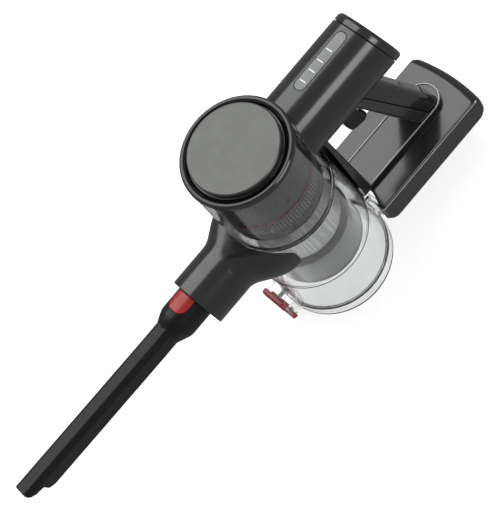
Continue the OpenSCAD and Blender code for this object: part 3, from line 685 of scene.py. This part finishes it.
# ---------------------------------------------------------------- crevice tool
def tool_loop(x, w, h, cz, r, count=20):
    """Rounded rectangle across X with the same number of points whatever its radius."""
    out = []
    for sy, sz, a0 in ((1, 1, 0), (-1, 1, pi / 2), (-1, -1, pi), (1, -1, 3 * pi / 2)):
        for k in range(count + 1):
            a = a0 + k / count * pi / 2
            out.append((x, sy * (w / 2 - r) + r * cos(a), cz + sz * (h / 2 - r) + r * sin(a)))
    return out


BLADE_X = -184                      # where the tool's straight part starts


def straight(x):
    """Section of the tool's straight part; its centre rises towards the tip."""
    return (x, 20.0, 27.0, 153.5 + max(0.0, (x - BLADE_X) / (TIP_X - BLADE_X)) * 3.5, 6.5)


def narrowed(row, wall, end=0.0):
    x, w, h, cz, r = row
    return tool_loop(x + end, w - 2 * wall, h - 2 * wall, cz, max(r - wall, 0.8))


# rows of x, width, height, centre height and corner radius
ROUND_NECK = (37.9, 37.9, NECK_Z, 18.93)
CONE_X = -146.3
NECK = [(-101, 36.9, 36.9, NECK_Z, 18.4)] + [(x, *ROUND_NECK) for x in (-101.6, -112, -124, -137)]
CONE = blend_stations([(CONE_X, *ROUND_NECK), (-150.3, 36.9, 37.2, 152.5, 18.4),
                       (-155.3, 32.6, 34.4, 152.5, 16.2), (-161.3, 26.4, 30.0, 152.6, 13.1),
                       (-168.3, 20.6, 25.2, 152.8, 10.2), (-177.3, 17.0, 21.0, 153.0, 8.4)], 4)
BODY = [straight(x) for x in (CONE_X, -160, -172, BLADE_X, -230, -270, -310, -340, TIP_X + 0.6)]
tool = skin("tool", [tool_loop(*row) for row in NECK + CONE])
root = straight(-146)[1:]
body = skin("body", [narrowed((-144.5, *root), 1.6), narrowed((-145.1, *root), 0.5)]
            + [tool_loop(*row) for row in BODY] + [narrowed(straight(TIP_X), 0.6)])
combine(tool, "UNION", body)
BORE = [(-99, *ROUND_NECK), (CONE_X, *ROUND_NECK), (-155.3, 31.0, 33.4, 152.7, 15.6),
        (-163.3, 24.0, 29.0, 153.0, 11.0), (-173.3, 20.0, 27.0, 153.3, 6.5)]
bore = skin("bore", [narrowed(row, 2.6) for row in BORE]
            + [narrowed(straight(x), 2.4) for x in (BLADE_X, -230, -300, TIP_X)]
            + [narrowed(straight(TIP_X), 2.4, -4)])
cut(tool, bore)


KEY_X = (-144.3, -124.2)            # ends of the tool's release button


def button_prism(grow, z0, z1):
    x0, x1, half_w = KEY_X[0] - grow, KEY_X[1] + grow, 10.3 + grow
    outline = rounded([(x0, -half_w, 9.2), (x1, -half_w, 0.4), (x1, half_w, 0.4), (x0, half_w, 9.2)], 10)
    return skin("prism", [[(u, v, z0) for u, v in outline], [(u, v, z1) for u, v in outline]])


NOTCH = [(TIP_X - 6, 120), (TIP_X + 40, 120), (TIP_X + 30, 143.4), (TIP_X + 24, 147.6),
         (TIP_X + 18.2, 151.2), (TIP_X + 16.6, 159.2), (TIP_X + 12.5, 160.1), (TIP_X + 7.8, 160.8),
         (TIP_X + 3, 164.6), (TIP_X, 168.8), (TIP_X - 6, 175)]
notch = skin("notch", [[(x, y, z) for x, z in rounded([(*p, 0.9) for p in NOTCH], 4)] for y in (-30, 30)])
cut(tool, button_prism(0.35, 156, 178), notch)
put(tool, "tool_skin", "black_satin", "tool", "crevice_tool", crease=40)

button = lathe("button", rounded([(NECK_R - 1.6, KEY_X[0], 0), (NECK_R + 0.9, KEY_X[0], 1.2),
                                  (NECK_R + 0.9, KEY_X[1], 0.6), (NECK_R - 1.6, KEY_X[1], 0)], 5),
               "X", (0, NECK_Z), 192)
combine(button, "INTERSECT", button_prism(0, 156, 178))
put(button, "tool_key", "red_button", "tool_button", "tool_release_button")

# ---------------------------------------------------------------- strut and grip
def lerp(a, b, t):
    return a + (b - a) * t


def column(name, x0, x1, half_w, radii, z_top, z_foot, levels=9):
    """Leaning column: x0 and x1 are (at top, at foot); radii are the front and rear corner radii."""
    rings = []
    for k in range(levels):
        t = k / (levels - 1)
        a, b = lerp(x0[0], x0[1], t), lerp(x1[0], x1[1], t)
        z = lerp(z_top, z_foot, t)
        outline = rounded([(a, -half_w, radii[0]), (b, -half_w, radii[1]),
                           (b, half_w, radii[1]), (a, half_w, radii[0])], 8)
        rings.append([(u, v, z) for u, v in outline])
    return skin(name, rings)


def saddle_loop(z):
    """Part of a ring between the bin's wall and the strut, at one height."""
    turns = [radians(-26 + 52 * k / 24) for k in range(25)]
    inner_r, outer_r = wall_r(z) + 0.8, wall_r(z) + 2.6
    outer = [(outer_r * cos(w), outer_r * sin(w), z) for w in turns]
    return outer + [(inner_r * cos(w), inner_r * sin(w), z) for w in reversed(turns)]


strut = column("strut", (60.9, 60.9), (64.9, 72), 18.5, (1.2, 3.2), 199, PLATE_TOP)
cut(strut, rod(BARREL_R, 30, 200, "X", (0, BARREL_Z), 160), taper_solid(150, 262, 0.3))
saddle = skin("saddle", [saddle_loop(z) for z in (80, 100, 120, 140, 163)])
put(saddle, "strut_saddle", "gunmetal", "main_body")
put(strut, "strut_skin", "gunmetal", "main_body", "front_strut")

# The foot plate's rim. Its silver colour is a painted highlight for the light line along the rim's rounded
# top, which is gunmetal like the plate.
painted_highlight_bead = block(20, PLATE_HIGH[0] - 0.1, -18.4, 18.4, PLATE_TOP, PLATE_TOP + 1.3, 18.3, 0.35)
cut(painted_highlight_bead, block(20.9, PLATE_HIGH[0] - 1.0, -17.5, 17.5, 60, 90, 17.4), block(0, 74.4, -30, 30, 60, 90))
put(painted_highlight_bead, "foot_bead", "trim_silver", "main_body", "foot_rim")

front = column("front", (98.7, 147.4), (110.1, 162.8), 16.8, (4.5, 1.0), GRIP_TOP_Z, GRIP_FOOT_Z)
pocket = slab("pocket", [(90, 140), (119.5, 140), (119.5, 152), (113.4, 163), (111.6, 171),
                         (111.6, 204), (90, 204)],
              flat_xz, -9, 9, 0.5)
cut(front, rod(BARREL_R, 30, 200, "X", (0, BARREL_Z), 160), pocket, rod(3.4, 110, 125, "X", (0, 157), 32))
put(front, "grip_front_skin", "gunmetal", "main_body", "grip_front_shell")
rear = column("rear", (110.6, 163.3), (131.5, 179.5), 16, (1.0, 11), GRIP_TOP_Z, GRIP_FOOT_Z)
cut(rear, rod(BARREL_R, 30, 200, "X", (0, BARREL_Z), 160))
put(rear, "grip_rear_skin", "black_gloss", "main_body", "grip_rear_cover")

finger = slab("finger", rounded([(90, 185, 2), (90.6, 154, 12), (92.2, 147, 4), (97, 144.3, 5),
                                 (109, 141.5, 5), (114.4, 146.8, 4), (110, 162, 8), (111, 175, 4),
                                 (107, 185, 2)], 8),
              flat_xz, -8.5, 8.5, 2.4, 5)
cut(finger, rod(BARREL_R + 0.7, 30, 200, "X", (0, BARREL_Z), 160))
put(finger, "trigger_skin", "black_satin", "trigger", "trigger")

# ---------------------------------------------------------------- battery
FRONT_HOLLOW_R = 70.7               # the pack's front curves round the bin
CORNER_R = 3.5


def battery_outline(x0, x1, half_w):
    """Plan of the pack at one level: concave front, rounded corners."""
    front = []
    steps = 24
    y_corner = half_w - CORNER_R
    for k in range(steps + 1):
        y = y_corner - 2 * y_corner * k / steps
        front.append((sqrt(FRONT_HOLLOW_R * FRONT_HOLLOW_R - y * y) + x0, y))
    tail = [(x1 - 4.5 * (k / 6) ** 2, k / 6 * half_w, 9 if abs(k) == 6 else 0) for k in range(-6, 7)]
    return front + rounded([(front[-1][0] + 1.2, -half_w, CORNER_R), *tail,
                            (front[0][0] + 1.2, half_w, CORNER_R)], 8)


def battery_block():
    """The whole pack, with rounded ends and sides."""
    z0, z1 = BATTERY_LOW[2], BATTERY_TOP
    rr, side = 12.0, 2.2            # rounding of the ends and of the sides
    rings = []

    def level(z):
        """How far the front, the back and the sides draw in at one height."""
        low = max(0.0, z0 + rr - z)
        high = max(0.0, z - (z1 - rr))
        back = rr - sqrt(max(0.0, rr * rr - max(low, high) ** 2))
        front = rr - sqrt(max(0.0, rr * rr - low * low))
        e = 0.0
        for d in (z - z0, z1 - z):
            if d < side:
                e = max(e, side - sqrt(max(0.0, side * side - (side - d) ** 2)))
        return front, back, e

    zs = [z0 + rr * (1 - cos(k / 10 * pi / 2)) for k in range(11)] + [z0 + 0.3, z0 + 0.9, z0 + 1.6]
    zs += [z1 - rr * (1 - cos(k / 10 * pi / 2)) for k in range(11)] + [z1 - 0.3, z1 - 0.9, z1 - 1.6]
    for z in sorted(set(round(z, 4) for z in zs)):
        front, back, e = level(z)
        outline = battery_outline(front, BATTERY_HIGH[0] - back, BATTERY_HIGH[1] - e)
        rings.append([(u, v, z) for u, v in outline])
    return skin("battery", rings)


def seam_prism(drop):
    """Everything under the seam on the pack's side, lowered by drop."""
    line = [(30, 44.9), (128, 44.9), (134, 43.7), (144, 37.5), (149, 35.7), (230, 35.7)]
    outline = [(30, 18.5)] + [(x, z - drop) for x, z in line] + [(230, 18.5)]
    n = len(outline)
    walls = [(i, (i + 1) % n, n + (i + 1) % n, n + i) for i in range(n)]
    return raw("seam", [(x, y, z) for y in (-80, 80) for x, z in outline],
               [tuple(range(n))[::-1], tuple(range(n, 2 * n))] + walls)


def battery_band(grow, z0, z1):
    """The pack's plan grown by grow, between two heights."""
    outline = inset(battery_outline(0, BATTERY_HIGH[0], BATTERY_HIGH[1]), -grow)
    return skin("band", [[(u, v, z) for u, v in outline] for z in (z0, z1)])


upper = cut(battery_block(), seam_prism(-0.18))
cut(upper, block(40, 150, -10.4, 10.4, 57.5, 77.5), block(40, 150, -14.4, 14.4, 56.1, 60.5),
    block(74, 194, -34, 34, 38.5, 54.1, 3), block(155, 194, -33, 33, 48.5, 63.0, 3),
    block(185.9, 197, -13.6, 13.6, 30, 42), rod(4.05, 196, 226, "X", (0, JACK_Z)))
groove = cut(battery_band(1.5, 63.0, 64.5), battery_band(-1.05, 62, 66), block(200, 240, -60, 60, 50, 80),
             block(40, 100, -30, 30, 50, 80))
cut(upper, groove)
put(upper, "battery_upper_skin", "gunmetal", "battery", "battery_upper_shell")
lower = combine(battery_block(), "INTERSECT", seam_prism(0.18))
cut(lower, block(77, 195, -38, 38, 34.9, 68.5, 6), block(187.05, 195.75, -12.35, 12.35, 28.5, 38.5, 3),
    rod(4.05, 196, 226, "X", (0, JACK_Z)))
put(lower, "battery_lower_skin", "gunmetal", "battery", "battery_lower_shell")

# ---------------------------------------------------------------- floor, light, camera
floor_mat = bpy.data.materials.new("floor")
floor_mat.use_nodes = True
tree = floor_mat.node_tree
shader = tree.nodes["Principled BSDF"]
paleness = mixed(tree, remap(tree, noise(tree, 3, 2), 0, 1), (0.9, 0.9, 0.9), (0.92, 0.92, 0.92))
link(tree, paleness, shader.inputs["Base Color"])
shader.inputs["Roughness"].default_value = 0.8
shader.inputs["Specular IOR Level"].default_value = 0.1
shader.inputs["Emission Color"].default_value = (1, 1, 1, 1)
shader.inputs["Emission Strength"].default_value = 0.72
FLOOR_HALF, FLOOR_Z = 6, -0.0004    # metres
mesh = bpy.data.meshes.new("floor")
mesh.from_pydata([(x * FLOOR_HALF, y * FLOOR_HALF, FLOOR_Z) for x, y in ((-1, -1), (1, -1), (1, 1), (-1, 1))],
                 [], [(0, 1, 2, 3)])
mesh.materials.append(floor_mat)
floor = bpy.data.objects.new("floor", mesh)
scene.collection.objects.link(floor)
floor.visible_glossy = False     # the pieces mirror the dim room, not the floor

world = bpy.data.worlds.new("studio")
scene.world = world
world.use_nodes = True
world.node_tree.nodes["Background"].inputs[0].default_value = (0.5, 0.505, 0.5, 1)
world.node_tree.nodes["Background"].inputs[1].default_value = 0.42


def softbox(name, at, aim, width, height, watts):
    lamp = bpy.data.lights.new(name, "AREA")
    lamp.shape, lamp.size, lamp.size_y, lamp.energy = "RECTANGLE", width, height, watts
    spot = bpy.data.objects.new(name, lamp)
    scene.collection.objects.link(spot)
    spot.location = at
    spot.rotation_mode = "QUATERNION"
    spot.rotation_quaternion = (Vector(aim) - Vector(at)).to_track_quat("-Z", "Y")
    return spot


softbox("softbox_far", (0.1, 1.0, 1.62), (0, 0, 0.1), 2.4, 1.9, 26)
softbox("softbox_near", (0.55, -1.15, 1.1), (0.1, 0, 0.15), 0.85, 0.55, 4)

camera = bpy.data.objects.new("camera", bpy.data.cameras.new("camera"))
scene.collection.objects.link(camera)
scene.camera = camera
# the photographer's side, from above, with the camera rolled so that the tool points down and left
RIGHT = Vector((0.64601, -0.66103, -0.38172))
UP = Vector((0.76281, 0.54071, 0.35459))
BACKWARD = Vector((-0.02799, -0.52026, 0.85355))
CAMERA_AT = (-0.0979, -0.7375, 1.3398)
LENS_MM = 105.675147
turn = Matrix((RIGHT, UP, BACKWARD)).transposed().to_4x4()
camera.matrix_world = Matrix.Translation(CAMERA_AT) @ turn
camera.data.sensor_width = 36
camera.data.lens = LENS_MM
camera.data.clip_start, camera.data.clip_end = 0.05, 50
scene.view_settings.view_transform = "Standard"
